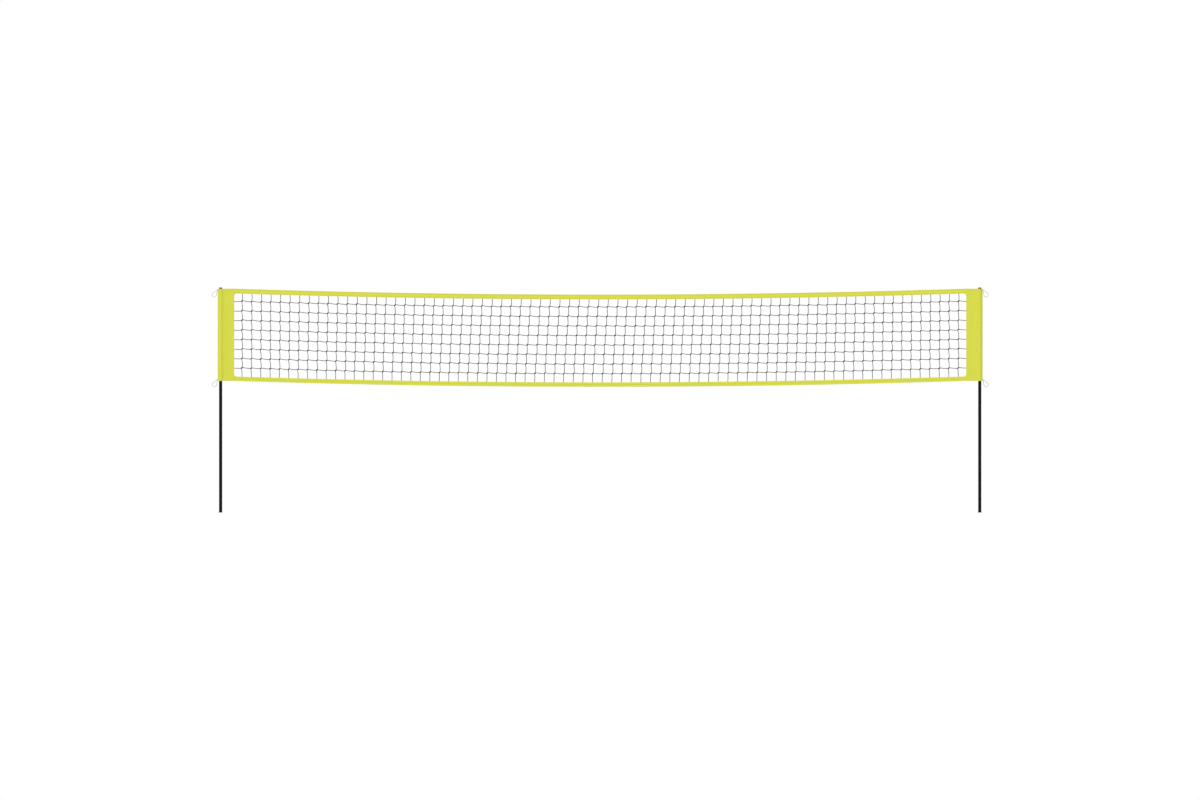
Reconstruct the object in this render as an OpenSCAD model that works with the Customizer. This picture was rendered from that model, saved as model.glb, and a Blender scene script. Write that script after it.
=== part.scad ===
// Volleyball net on two sectional posts, for gardens, beaches and gyms.
// Millimetres, +Z up, X along the net. The origin is on the ground, midway between the posts.

/* [Posts] */
// Distance between the centres of the two posts
post_spacing = 8230; // [4000:10:12000]
// Overall height of a post, foot and cap included
post_h = 2440; // [1900:10:2600]
// Outside diameter of the post tube
tube_d = 35; // [28:0.5:38]
// Wall of the post tube
tube_wall = 1.2; // [0.8:0.1:2]
// Chamfer round both ends of a tube
tube_chamfer = 0.4; // [0.1:0.1:0.6]
// Length of the necked spigot on top of a section
spigot_len = 60; // [30:1:120]
// Radial clearance of a spigot in the bore of the next section
spigot_gap = 0.1; // [0.05:0.01:0.3]
// Length over which the bore narrows below a spigot
swage_len = 5; // [2:0.5:15]
// Chamfer round the top of a spigot
spigot_chamfer = 0.6; // [0.1:0.1:0.7]

/* [Foot and cap] */
// Diameter of the flange that the post stands on
foot_d = 41; // [40:0.5:90]
// Height of the foot flange
foot_h = 10; // [5:0.5:30]
// Chamfer round the lower edge of the foot
foot_chamfer = 0.8; // [0.2:0.1:2]
// Radius round the upper edge of the foot
foot_round = 3; // [0.5:0.5:4]
// Height of the domed head of the cap
cap_h = 13; // [8:0.5:30]
// How far the cap stands out past the tube
cap_lip = 0.6; // [0.2:0.1:1.5]
// Radius round the head of the cap
cap_round = 7.5; // [1:0.5:8]
// Length of the ribbed plug that the foot and the cap press into the tube
plug_len = 32; // [20:1:60]
// Number of ribs round a plug
plug_ribs = 4; // [2:1:6]
// How far a rib stands out from the core of a plug
rib_h = 1.8; // [0.5:0.1:3]
// Radial clearance of the ribs in the tube
plug_gap = 0.1; // [0.05:0.01:0.3]
// Wall of the hollow plug
plug_wall = 2.2; // [1:0.1:4]

/* [Net] */
// Height of the net from edge to edge
net_h = 1000; // [600:10:1200]
// How far the middle of the net hangs below its ends
sag = 64; // [0:1:200]
// How far the middle strings lean sideways from top to bottom
lean = 69; // [0:1:150]
// Diameter of the twine
twine_d = 5.6; // [2:0.1:8]
// Number of gaps along the net
gaps_long = 49; // [10:1:50]
// Number of gaps down the net
gaps_high = 6; // [2:1:6]
// How far a knot reaches along the twine
knot_reach = 9; // [0.5:0.5:20]

/* [Tapes and sleeves] */
// Height of the folded tape along the top
top_tape_h = 52; // [30:1:100]
// Height of the folded tape along the bottom
bottom_tape_h = 47; // [30:1:100]
// Radius of the inner corners, where a tape runs out into a sleeve
inner_round = 25; // [5:1:60]
// Thickness of one layer of woven cloth
cloth_t = 0.8; // [0.4:0.1:1.5]
// Distance from the centre of a post to the inner edge of its sleeve
sleeve_reach = 147; // [80:1:200]
// Width of the sewn seam outside the post pocket
seam_w = 12.5; // [6:0.5:30]
// Inside radius of the pocket that the post stands in
pocket_r = 20; // [19.9:0.1:27]
// Radius where the pocket runs out into the flat cloth of the sleeve
pocket_blend = 30; // [5:1:60]
// Radius of the outer corners of a sleeve
corner_r = 9; // [1:0.5:13]
// How deep the border cord of the net sits inside the cloth
border_depth = 12; // [6:1:24]
// Diameter of the ropes folded into the top and bottom tapes
rope_d = 5; // [3:0.5:8]
// Length of rope that runs on into a sleeve at each end
rope_tail = 60; // [10:1:90]
// Clearance between soft pieces, and of the sleeve past the cap
soft_gap = 0.3; // [0.2:0.05:0.6]

/* [Corner loops] */
// Diameter of the cord of a corner loop
loop_cord_d = 6; // [3:0.5:8]
// Outside diameter of the round end of a corner loop
loop_ring_d = 54; // [30:1:58]
// Distance from the seam to the centre of the round end
loop_len = 63; // [55:1:90]
// Angle that a loop hangs out from the vertical
loop_angle = 32; // [30:1:80]
// Distance of a loop from the top or bottom edge of the net
loop_inset = 13; // [8:1:40]

/* [Hidden] */

post_black = "#1b1b1d";
plastic_black = "#26262a";
tape_yellow = "#d7da42";
twine_black = "#242426";
cord_white = "#e9e9e6";

section_count = 4;
round_fn = 96;
post_x = post_spacing / 2;
tube_r = tube_d / 2;
bore_r = tube_r - tube_wall;
spigot_r = bore_r - spigot_gap;
section_len = (post_h - foot_h - cap_h) / section_count;

net_top = post_h - cap_h;
net_bottom = net_top - net_h;
pocket_x = pocket_r - tube_r - cap_lip - soft_gap;
pocket_outer_r = pocket_r + cloth_t;
sleeve_outer = pocket_outer_r - pocket_x + seam_w;
inner_half = post_x - sleeve_reach;
slot_half = max(rope_d, twine_d) / 2 + soft_gap;
tape_half = slot_half + cloth_t;

tape_steps = 28;
tape_x = [for (k = [0:tape_steps]) inner_half * (2 * k / tape_steps - 1)];
corner_steps = 5;
corner_x = [for (k = [1:corner_steps]) inner_half - inner_round * (1 - cos(90 * k / corner_steps))];
fold_steps = 8;
panel_gaps = 7;

// How far the net hangs down at x: a parabola between the sleeves, and nothing inside them
function drop(x) = sag * max(0, 1 - pow(x / inner_half, 2));

// A ribbed plug, hollow from its free end, that starts at z = 0 and goes up
module plug() {
    core_r = bore_r - plug_gap - rib_h;
    rib_pitch = plug_len / (plug_ribs + 1);
    difference() {
        union() {
            cylinder(r = core_r, h = plug_len, $fn = round_fn);
            for (k = [1:plug_ribs])
                translate([0, 0, k * rib_pitch])
                    cylinder(r1 = core_r + rib_h, r2 = core_r, h = rib_pitch * 0.6, $fn = round_fn);
        }
        translate([0, 0, plug_wall])
            cylinder(r = core_r - plug_wall, h = plug_len, $fn = round_fn);
    }
}

// A square corner of a revolved profile, less its quarter circle, to be cut away from it
module corner_cut(x, y, r) {
    translate([x - r, y - r])
        difference() {
            square([2 * r, 2 * r]);
            circle(r = r, $fn = round_fn);
        }
}

// Moulded foot: a flange under the tube and a ribbed plug in it
module foot() {
    foot_r = foot_d / 2;
    color(plastic_black) {
        rotate_extrude($fn = round_fn)
            difference() {
                polygon([[0, 0], [foot_r - foot_chamfer, 0], [foot_r, foot_chamfer],
                         [foot_r, foot_h], [0, foot_h]]);
                corner_cut(foot_r, foot_h, foot_round);
            }
        translate([0, 0, foot_h])
            plug();
    }
}

// Moulded cap: a domed head on top of the tube and a ribbed plug in it
module cap() {
    cap_r = tube_r + cap_lip;
    color(plastic_black) {
        translate([0, 0, net_top])
            rotate_extrude($fn = round_fn)
                difference() {
                    square([cap_r, cap_h]);
                    corner_cut(cap_r, cap_h, cap_round);
                }
        translate([0, 0, net_top])
            mirror([0, 0, 1])
                plug();
    }
}

// One steel tube of a post, counted from the ground. All but the top one end in a spigot.
module post_section(number) {
    base = foot_h + (number - 1) * section_len;
    shoulder = base + section_len;
    neck_r = spigot_r - tube_wall;
    c = tube_chamfer;
    wall = [
        [bore_r, base], [tube_r - c, base], [tube_r, base + c],
        [tube_r, shoulder - c], [tube_r - c, shoulder]
    ];
    plain = concat(wall, [[bore_r, shoulder]]);
    necked = concat(wall, [
        [spigot_r, shoulder], [spigot_r, shoulder + spigot_len - spigot_chamfer],
        [spigot_r - spigot_chamfer, shoulder + spigot_len], [neck_r, shoulder + spigot_len],
        [neck_r, shoulder], [bore_r, shoulder - swage_len]
    ]);
    color(post_black)
        rotate_extrude($fn = round_fn)
            polygon(number < section_count ? necked : plain);
}

// Half profile of the run-out between the pocket's round wall and a flat layer of cloth
module run_out(r, half, blend) {
    reach = sqrt(pow(r + blend, 2) - pow(half + blend, 2));
    difference() {
        polygon([[0, 0], [reach, 0], [reach, half + blend]]);
        translate([reach, half + blend])
            circle(r = blend, $fn = round_fn * 2);
    }
}

// Plan outline of a sleeve's outer or inner face: the pocket and the flat cloth beyond it
module sleeve_outline(r, half, blend, reach) {
    circle(r = r, $fn = round_fn);
    translate([0, -half])
        square([reach, 2 * half]);
    run_out(r, half, blend);
    mirror([0, 1, 0])
        run_out(r, half, blend);
}

// Sleeve of the right post, drawn with the net towards +X: a pocket for the post, a seam outside
// it, and two layers of cloth that take the end of the net between them
module sleeve() {
    flat_reach = sleeve_reach - pocket_x;
    color(tape_yellow)
        difference() {
            translate([pocket_x, 0, net_bottom])
                linear_extrude(net_h)
                    difference() {
                        union() {
                            sleeve_outline(pocket_outer_r, tape_half, pocket_blend, flat_reach);
                            translate([-pocket_outer_r - seam_w, -cloth_t])
                                square([pocket_outer_r + seam_w, 2 * cloth_t]);
                        }
                        sleeve_outline(pocket_r, slot_half, pocket_blend + cloth_t, flat_reach + 1);
                    }
            for (top = [0, 1])
                translate([corner_r - sleeve_outer, 0, top ? net_top - corner_r : net_bottom + corner_r])
                    rotate([90, 0, 0])
                        linear_extrude(4 * cloth_t, center = true)
                            difference() {
                                translate([-2 * corner_r, top ? 0 : -2 * corner_r])
                                    square(2 * corner_r);
                                circle(r = corner_r, $fn = round_fn);
                            }
        }
}

// Joins profiles of [y, z] points at stations of [x, z] as one closed solid. The second half of a
// profile runs back beside the first, so each end is closed by a strip between the two.
module carried(profiles, stations) {
    n = len(profiles[0]);
    count = len(stations);
    last = (count - 1) * n;
    points = [for (k = [0:count - 1]) for (p = profiles[k]) [stations[k][0], p[0], stations[k][1] + p[1]]];
    walls = [for (k = [0:count - 2]) for (i = [0:n - 1])
        let (a = k * n + i, b = k * n + (i + 1) % n)
        [a, b, b + n, a + n]];
    strip = [for (i = [0:n / 2 - 2]) [i, i + 1, n - 2 - i, n - 1 - i]];
    first_end = [for (s = strip) [s[3], s[2], s[1], s[0]]];
    last_end = [for (s = strip) [for (corner = s) last + corner]];
    polyhedron(points, concat(first_end, walls, last_end));
}

// Profile of a tape folded over its rope, with the fold at z = 0 and the open edge below it
function fold_profile(h) = concat(
    [[-tape_half, -h]],
    [for (k = [0:fold_steps]) let (a = 180 - 180 * k / fold_steps)
        [tape_half * cos(a), tape_half * (sin(a) - 1)]],
    [[tape_half, -h], [slot_half, -h]],
    [for (k = [0:fold_steps]) let (a = 180 * k / fold_steps)
        [slot_half * cos(a), slot_half * sin(a) - tape_half]],
    [[-slot_half, -h]]
);

// Stations of a tape: even ones, and closer ones in the inner corners
cloth_x = concat([-inner_half], -1 * corner_x, [for (k = [1:tape_steps - 1]) tape_x[k]],
                 [for (k = [corner_steps - 1:-1:0]) corner_x[k]], [inner_half]);

// Height of a tape at x. It grows by a quarter round beside each sleeve.
function tape_height(h, x) =
    let (inside = max(0, inner_round - inner_half + abs(x)))
    h + inner_round - sqrt(pow(inner_round, 2) - pow(inside, 2));

// Tape folded over the head rope and sewn to the top of the net
module top_tape() {
    color(tape_yellow)
        carried([for (x = cloth_x) fold_profile(tape_height(top_tape_h, x))],
                [for (x = cloth_x) [x, net_top - drop(x)]]);
}

// Tape folded over the foot rope and sewn to the bottom of the net, with its fold downwards
module bottom_tape() {
    color(tape_yellow)
        translate([0, 0, net_bottom])
            mirror([0, 0, 1])
                carried([for (x = cloth_x) fold_profile(tape_height(bottom_tape_h, x))],
                        [for (x = cloth_x) [x, drop(x)]]);
}

// Rope that lies in a fold whose outer edge is at height edge. side is 1 for a fold at the top.
module folded_rope(edge, side) {
    centre = edge - side * tape_half;
    ring = [for (k = [0:7]) rope_d / 2 * [cos(-45 * k), sin(-45 * k)]];
    stations = concat(
        [[-inner_half - rope_tail, centre]],
        [for (x = tape_x) [x, centre - drop(x)]],
        [[inner_half + rope_tail, centre]]
    );
    color(cord_white)
        carried([for (s = stations) ring], stations);
}

// Where string i along the net crosses string j down the net, as [x, z]
function crossing(i, j) =
    let (
        half = inner_half + border_depth,
        x = half * (2 * i / gaps_long - 1),
        v = j / gaps_high,
        first = net_top - top_tape_h + border_depth,
        last = net_bottom + bottom_tape_h - border_depth
    )
    [x - lean * sin(180 * i / gaps_long) * v, first + (last - first) * v - drop(x)];

// Outline of one gap. Knots fill its lower left and upper right corners.
function gap_outline(i, j) =
    let (
        r = twine_d / 2,
        k = r + knot_reach,
        upper_left = crossing(i, j),
        upper_right = crossing(i + 1, j),
        lower_right = crossing(i + 1, j + 1),
        lower_left = crossing(i, j + 1)
    )
    [
        upper_left + [r, -r], upper_right + [-k, -r], upper_right + [-r, -k],
        lower_right + [-r, r], lower_left + [k, r], lower_left + [r, k]
    ];

// Outline of a panel of the net, count gaps long, from string start on
module net_panel(start, count) {
    r = twine_d / 2;
    side = function (i) i == 0 ? -r : i == count ? r : 0;
    rim = concat(
        [for (i = [0:count]) crossing(start + i, 0) + [side(i), r]],
        [for (j = [1:gaps_high - 1]) crossing(start + count, j) + [r, 0]],
        [for (i = [count:-1:0]) crossing(start + i, gaps_high) + [side(i), -r]],
        [for (j = [gaps_high - 1:-1:1]) crossing(start, j) + [-r, 0]]
    );
    gaps = [for (i = [0:count - 1]) for (j = [0:gaps_high - 1]) gap_outline(start + i, j)];
    corners = len(gaps[0]);
    rim_path = [for (i = [0:len(rim) - 1]) i];
    gap_paths = [for (g = [0:len(gaps) - 1]) [for (c = [0:corners - 1]) len(rim) + g * corners + c]];
    polygon(concat(rim, [for (g = gaps) each g]), concat([rim_path], gap_paths));
}

// Net of knotted twine with a border cord all round, which the tapes and sleeves take in.
// Neighbouring panels share the string between them.
module net_mesh() {
    color(twine_black)
        rotate([90, 0, 0])
            linear_extrude(twine_d, center = true)
                for (start = [0:panel_gaps:gaps_long - 1])
                    net_panel(start, min(panel_gaps, gaps_long - start));
}

// Points of a corner loop as [out, up] from its hinge line, from its upper end to its lower end
ring_r = (loop_ring_d - loop_cord_d) / 2;
touch_angle = acos(ring_r / loop_len);
loop_end = loop_cord_d / 2 + soft_gap;
ring_steps = 16;
ring_centre = loop_len * [sin(loop_angle), -cos(loop_angle)];
loop_points = concat(
    [[0, loop_end]],
    [for (k = [0:ring_steps])
        let (a = 90 + loop_angle - touch_angle - k * (360 - 2 * touch_angle) / ring_steps)
        ring_centre + ring_r * [cos(a), sin(a)]],
    [[0, -loop_end]]
);
// Rounded ends of the cord: how far each ring lies past the end, and its share of the radius
tip = [[0.95, 0.3], [0.7, 0.71], [0.38, 0.92]];

// Loop of cord sewn into the seam at a corner of the net, [out, up] turned into [x, z] at +X
module corner_loop(height) {
    r = loop_cord_d / 2;
    n = len(loop_points);
    head = [for (t = tip) [loop_points[0] + [-t[0] * r, 0], t[1] * r, [1, 0]]];
    tail = [for (t = [2:-1:0]) [loop_points[n - 1] + [-tip[t][0] * r, 0], tip[t][1] * r, [-1, 0]]];
    body = [for (k = [0:n - 1])
        let (
            way = k == 0 ? [1, 0] : k == n - 1 ? [-1, 0] : loop_points[k + 1] - loop_points[k - 1]
        )
        [loop_points[k], r, way / norm(way)]];
    rings = concat(head, body, tail);
    sides = 8;
    points = [for (ring = rings) for (s = [0:sides - 1])
        let (
            a = 360 * s / sides,
            flat = ring[0] + ring[1] * cos(a) * [ring[2][1], -ring[2][0]]
        )
        [flat[0], ring[1] * sin(a), flat[1]]];
    last = (len(rings) - 1) * sides;
    walls = [for (k = [0:len(rings) - 2]) for (s = [0:sides - 1])
        let (a = k * sides + s, b = k * sides + (s + 1) % sides)
        [a, b, b + sides, a + sides]];
    color(cord_white)
        translate([post_x + sleeve_outer + loop_end, 0, height])
            polyhedron(points, concat([[for (s = [sides - 1:-1:0]) s]], walls,
                                      [[for (s = [0:sides - 1]) last + s]]));
}

// Places a post's piece, or its mirror image, on the left or the right post
module at_left() {
    translate([-post_x, 0, 0])
        children();
}
module at_right() {
    mirror([1, 0, 0])
        at_left()
            children();
}

upper_loop_z = net_top - loop_inset;
lower_loop_z = net_bottom + loop_inset;

at_left() foot();  // left_foot
at_left() post_section(1);  // left_post_section_1
at_left() post_section(2);  // left_post_section_2
at_left() post_section(3);  // left_post_section_3
at_left() post_section(4);  // left_post_section_4
at_left() cap();  // left_post_cap
at_left() sleeve();  // left_sleeve
mirror([1, 0, 0]) corner_loop(upper_loop_z);  // left_upper_loop
mirror([1, 0, 0]) corner_loop(lower_loop_z);  // left_lower_loop
at_right() foot();  // right_foot
at_right() post_section(1);  // right_post_section_1
at_right() post_section(2);  // right_post_section_2
at_right() post_section(3);  // right_post_section_3
at_right() post_section(4);  // right_post_section_4
at_right() cap();  // right_post_cap
at_right() sleeve();  // right_sleeve
corner_loop(upper_loop_z);  // right_upper_loop
corner_loop(lower_loop_z);  // right_lower_loop
net_mesh();
top_tape();
bottom_tape();
folded_rope(net_top, 1);  // head_rope
folded_rope(net_bottom, -1);  // foot_rope
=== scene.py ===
import math

import bmesh
import bpy
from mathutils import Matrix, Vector, noise


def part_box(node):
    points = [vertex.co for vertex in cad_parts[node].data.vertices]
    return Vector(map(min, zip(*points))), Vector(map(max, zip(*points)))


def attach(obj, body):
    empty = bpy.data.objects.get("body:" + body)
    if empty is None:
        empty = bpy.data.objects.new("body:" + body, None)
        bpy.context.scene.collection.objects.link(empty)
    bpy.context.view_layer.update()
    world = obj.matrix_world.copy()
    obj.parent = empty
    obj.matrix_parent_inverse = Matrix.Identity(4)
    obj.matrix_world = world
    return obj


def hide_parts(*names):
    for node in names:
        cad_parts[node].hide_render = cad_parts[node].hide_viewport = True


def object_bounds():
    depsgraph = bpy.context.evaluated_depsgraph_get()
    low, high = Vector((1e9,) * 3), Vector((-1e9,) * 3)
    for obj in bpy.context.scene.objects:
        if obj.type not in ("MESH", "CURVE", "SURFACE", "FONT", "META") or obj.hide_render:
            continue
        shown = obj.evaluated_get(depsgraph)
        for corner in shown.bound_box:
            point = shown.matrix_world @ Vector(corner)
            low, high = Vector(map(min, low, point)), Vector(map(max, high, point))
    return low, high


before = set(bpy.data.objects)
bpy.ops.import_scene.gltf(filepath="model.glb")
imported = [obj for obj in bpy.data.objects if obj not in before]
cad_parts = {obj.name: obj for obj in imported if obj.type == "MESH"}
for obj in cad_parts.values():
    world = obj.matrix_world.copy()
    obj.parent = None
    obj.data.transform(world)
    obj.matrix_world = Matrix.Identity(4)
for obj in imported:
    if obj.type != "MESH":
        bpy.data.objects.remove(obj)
cad_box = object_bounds()
scene = bpy.context.scene
mm = 0.001


# ---------------------------------------------------------------- camera
# A level camera, square to the net, far enough away that the net shows no
# perspective: the frame is 13.01 m wide and its middle is half a post high.
frame_width = 13.010
camera_shift = -2 * mm
camera_distance = 14.0
half_post = round(cad_box[1].z / 2, 3)

camera_data = bpy.data.cameras.new("level_front")
camera_data.type = "ORTHO"
camera_data.ortho_scale = frame_width
camera_data.clip_end = 200
camera = bpy.data.objects.new("level_front", camera_data)
camera.location = (camera_shift, -camera_distance, half_post)
camera.rotation_euler = (math.radians(90), 0, 0)
scene.collection.objects.link(camera)
scene.camera = camera
scene.view_settings.view_transform = "Standard"


# ---------------------------------------------------------------- studio
# A plain white studio: a matt pale floor that takes the shadow, an even white
# surround, and one broad lamp high on the left in front of the net.
def hex_colour(code):
    """An sRGB colour such as "d7da42", turned linear."""
    parts = [int(code[k : k + 2], 16) / 255 for k in (0, 2, 4)]
    linear = [c / 12.92 if c <= 0.04045 else ((c + 0.055) / 1.055) ** 2.4 for c in parts]
    return (*linear, 1)


def add_node(tree, kind, sockets=None, **settings):
    """A node with its settings. A socket takes a value, another socket, or a node's first output."""
    node = tree.nodes.new(kind)
    for name, value in settings.items():
        setattr(node, name, value)
    for key, value in (sockets or {}).items():
        if isinstance(value, bpy.types.Node):
            value = value.outputs[0]
        if isinstance(value, bpy.types.NodeSocket):
            tree.links.new(value, node.inputs[key])
        else:
            node.inputs[key].default_value = value
    return node


def new_material(name):
    """An empty node material and its tree."""
    material = bpy.data.materials.new(name)
    material.use_nodes = True
    material.node_tree.nodes.clear()
    return material, material.node_tree


world = bpy.data.worlds.new("white_surround")
scene.world = world
world.use_nodes = True
tree = world.node_tree
tree.nodes.clear()
path = add_node(tree, "ShaderNodeLightPath")
seen = add_node(tree, "ShaderNodeMath",
                {0: path.outputs["Is Camera Ray"], 1: path.outputs["Is Glossy Ray"]}, operation="MAXIMUM")
seen = add_node(tree, "ShaderNodeMath", {0: seen, 1: path.outputs["Is Transmission Ray"]},
                operation="MAXIMUM")
strength = add_node(tree, "ShaderNodeMapRange", {"Value": seen, "To Min": 0.62, "To Max": 1.0})
surround = add_node(tree, "ShaderNodeBackground", {"Color": (1, 1, 1, 1), "Strength": strength})
add_node(tree, "ShaderNodeOutputWorld", {"Surface": surround})

lamp_data = bpy.data.lights.new("broad_lamp", "SUN")
lamp_data.energy = 1.25
lamp_data.angle = math.radians(18)
lamp = bpy.data.objects.new("broad_lamp", lamp_data)
lamp.rotation_euler = (math.radians(44), 0, math.radians(-24))
scene.collection.objects.link(lamp)

# Matt floor paint, rolled on: a very fine stipple and no gloss.
floor_paint, tree = new_material("rolled_floor_paint")
where = add_node(tree, "ShaderNodeTexCoord")
stipple = add_node(tree, "ShaderNodeTexNoise",
                   {"Vector": where.outputs["Object"], "Scale": 1 / (6 * mm), "Detail": 2.0})
relief = add_node(tree, "ShaderNodeBump", {"Height": stipple, "Strength": 0.1, "Distance": 0.2 * mm})
paint = add_node(tree, "ShaderNodeBsdfPrincipled",
                 {"Base Color": hex_colour("f2f2f0"), "Roughness": 0.9, "Specular IOR Level": 0.2,
                  "Normal": relief})
add_node(tree, "ShaderNodeOutputMaterial", {"Surface": paint})

floor_half = 60
floor_corners = [(x * floor_half, y * floor_half, 0) for x, y in ((-1, -1), (1, -1), (1, 1), (-1, 1))]
floor_mesh = bpy.data.meshes.new("floor")
floor_mesh.from_pydata(floor_corners, [], [(0, 1, 2, 3)])
floor_mesh.materials.append(floor_paint)
floor = bpy.data.objects.new("floor", floor_mesh)
scene.collection.objects.link(floor)


# ---------------------------------------------------------------- post tubes
# Each post is four drawn steel tubes that plug together on necked spigots.
# They are powder coated black: a satin skin with a fine orange peel, rubbed
# a little paler where the sections meet.
def corner_of(node, end):
    """The lowest (0) or highest (1) corner of a CAD node, to a tenth of a millimetre."""
    return [round(place, 4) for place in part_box(node)[end]]


foot_top = corner_of("right_post_section_1", 0)[2]
tube_top = corner_of("right_post_section_4", 1)[2]
post_x = round((corner_of("right_post_section_1", 0)[0] + corner_of("right_post_section_1", 1)[0]) / 2, 4)
section_len = (tube_top - foot_top) / 4

powder_coat, tree = new_material("powder_coated_steel")
where = add_node(tree, "ShaderNodeTexCoord")
orange_peel = add_node(tree, "ShaderNodeTexNoise",
                       {"Vector": where.outputs["Object"], "Scale": 1 / (2.2 * mm), "Detail": 2.0,
                        "Roughness": 0.4})
relief = add_node(tree, "ShaderNodeBump", {"Height": orange_peel, "Strength": 0.35, "Distance": 0.12 * mm})
height = add_node(tree, "ShaderNodeSeparateXYZ", {0: where.outputs["Object"]})
from_joint = add_node(tree, "ShaderNodeMath", {0: height.outputs["Z"], 1: foot_top}, operation="SUBTRACT")
from_joint = add_node(tree, "ShaderNodeMath", {0: from_joint, 1: section_len}, operation="PINGPONG")
from_joint = add_node(tree, "ShaderNodeMath", {0: from_joint, 1: section_len / 2}, operation="PINGPONG")
rubbed = add_node(tree, "ShaderNodeMapRange",
                  {"Value": from_joint, "From Min": 1 * mm, "From Max": 14 * mm, "To Min": 1.0,
                   "To Max": 0.0})
scuffs = add_node(tree, "ShaderNodeTexNoise",
                  {"Vector": where.outputs["Object"], "Scale": 1 / (9 * mm), "Detail": 4.0})
scuffs = add_node(tree, "ShaderNodeMapRange", {"Value": scuffs, "From Min": 0.5, "From Max": 0.7})
worn = add_node(tree, "ShaderNodeMath", {0: rubbed, 1: scuffs}, operation="MULTIPLY")
tone = add_node(tree, "ShaderNodeMix", {0: worn, 6: hex_colour("09090a"), 7: hex_colour("3c3c3e")},
                data_type="RGBA")
gloss = add_node(tree, "ShaderNodeMapRange", {"Value": scuffs, "To Min": 0.42, "To Max": 0.52})
coat = add_node(tree, "ShaderNodeBsdfPrincipled",
                {"Base Color": tone.outputs[2], "Roughness": gloss, "Specular IOR Level": 0.12,
                 "Normal": relief})
add_node(tree, "ShaderNodeOutputMaterial", {"Surface": coat})


def dress(node, material):
    """Gives a carried-over CAD node its finish."""
    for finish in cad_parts[node].material_slots:
        finish.material = material


for side in ("left", "right"):
    for number in (1, 2, 3, 4):
        dress(f"{side}_post_section_{number}", powder_coat)


# ---------------------------------------------------------------- feet and caps
# A foot and a cap are injection mouldings in black polyethylene, each with a
# ribbed plug pressed into the tube: dull, softly grained, with faint scuffs.
black_polyethylene, tree = new_material("moulded_polyethylene")
where = add_node(tree, "ShaderNodeTexCoord")
grain = add_node(tree, "ShaderNodeTexVoronoi", {"Vector": where.outputs["Object"], "Scale": 1 / (0.9 * mm)})
relief = add_node(tree, "ShaderNodeBump", {"Height": grain, "Strength": 0.3, "Distance": 0.08 * mm})
scuffs = add_node(tree, "ShaderNodeTexNoise",
                  {"Vector": where.outputs["Object"], "Scale": 1 / (7 * mm), "Detail": 3.0})
scuffs = add_node(tree, "ShaderNodeMapRange", {"Value": scuffs, "From Min": 0.45, "From Max": 0.75})
tone = add_node(tree, "ShaderNodeMix", {0: scuffs, 6: hex_colour("0d0d0e"), 7: hex_colour("1f1f21")},
                data_type="RGBA")
polyethylene = add_node(tree, "ShaderNodeBsdfPrincipled",
                        {"Base Color": tone.outputs[2], "Roughness": 0.62, "Specular IOR Level": 0.2,
                         "Normal": relief})
add_node(tree, "ShaderNodeOutputMaterial", {"Surface": polyethylene})

for side in ("left", "right"):
    dress(f"{side}_foot", black_polyethylene)
    dress(f"{side}_post_cap", black_polyethylene)


# ---------------------------------------------------------------- net
# The net is knotted by machine from black twisted polyethylene twine, 77 by 9
# gaps, on a border cord that the tapes and sleeves take in. Each string leaves
# its knot at one corner and sags or bows a little before the next.
inner_half, _, net_bottom = corner_of("right_sleeve", 0)
net_top = corner_of("right_sleeve", 1)[2]
net_half = inner_half + 17.5 * mm
net_first = net_top - 35 * mm
net_last = net_bottom + 36 * mm
net_sag = 64 * mm
net_lean = 69 * mm
net_drift = 14 * mm
lean_power = 1.2
gaps_along = 77
gaps_down = 9
twine_d = 7.0 * mm
net_lift = 5.5 * mm
knot_radii = (6.4 * mm, 3.8 * mm, 2.5 * mm)

twine, tree = new_material("twisted_polyethylene_twine")
where = add_node(tree, "ShaderNodeTexCoord")
# Three strands twisted together: a ridge every 5 mm that climbs round the twine.
lay = add_node(tree, "ShaderNodeVectorMath", {0: where.outputs["Object"], 1: (1, 0.7, 1)},
               operation="DOT_PRODUCT")
lay = add_node(tree, "ShaderNodeMath", {0: lay.outputs["Value"], 1: 2 * math.pi / (5 * mm)},
               operation="MULTIPLY")
lay = add_node(tree, "ShaderNodeMath", {0: lay}, operation="SINE")
fuzz = add_node(tree, "ShaderNodeTexNoise",
                {"Vector": where.outputs["Object"], "Scale": 1 / (1.2 * mm), "Detail": 3.0})
height = add_node(tree, "ShaderNodeMath", {0: lay, 1: 0.5, 2: fuzz.outputs[0]}, operation="MULTIPLY_ADD")
relief = add_node(tree, "ShaderNodeBump", {"Height": height, "Strength": 0.8, "Distance": 0.5 * mm})
# Painted light and shade: the ridges of the strands are drawn paler and the grooves between them darker.
tone = add_node(tree, "ShaderNodeMapRange", {"Value": lay, "From Min": -1.0, "From Max": 1.0})
tone = add_node(tree, "ShaderNodeMix", {0: tone, 6: hex_colour("060607"), 7: hex_colour("161618")},
                data_type="RGBA")
strands = add_node(tree, "ShaderNodeBsdfPrincipled",
                   {"Base Color": tone.outputs[2], "Roughness": 0.6, "Specular IOR Level": 0.1,
                    "Normal": relief})
add_node(tree, "ShaderNodeOutputMaterial", {"Surface": strands})


def new_group(name, inputs):
    """A Geometry Nodes tree, its input node, and its output node. inputs are (name, socket type)."""
    group = bpy.data.node_groups.new(name, "GeometryNodeTree")
    group.interface.new_socket("Geometry", in_out="INPUT", socket_type="NodeSocketGeometry")
    for label, kind in inputs:
        group.interface.new_socket(label, in_out="INPUT", socket_type=kind)
    group.interface.new_socket("Geometry", in_out="OUTPUT", socket_type="NodeSocketGeometry")
    return group, group.nodes.new("NodeGroupInput"), group.nodes.new("NodeGroupOutput")


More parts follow.
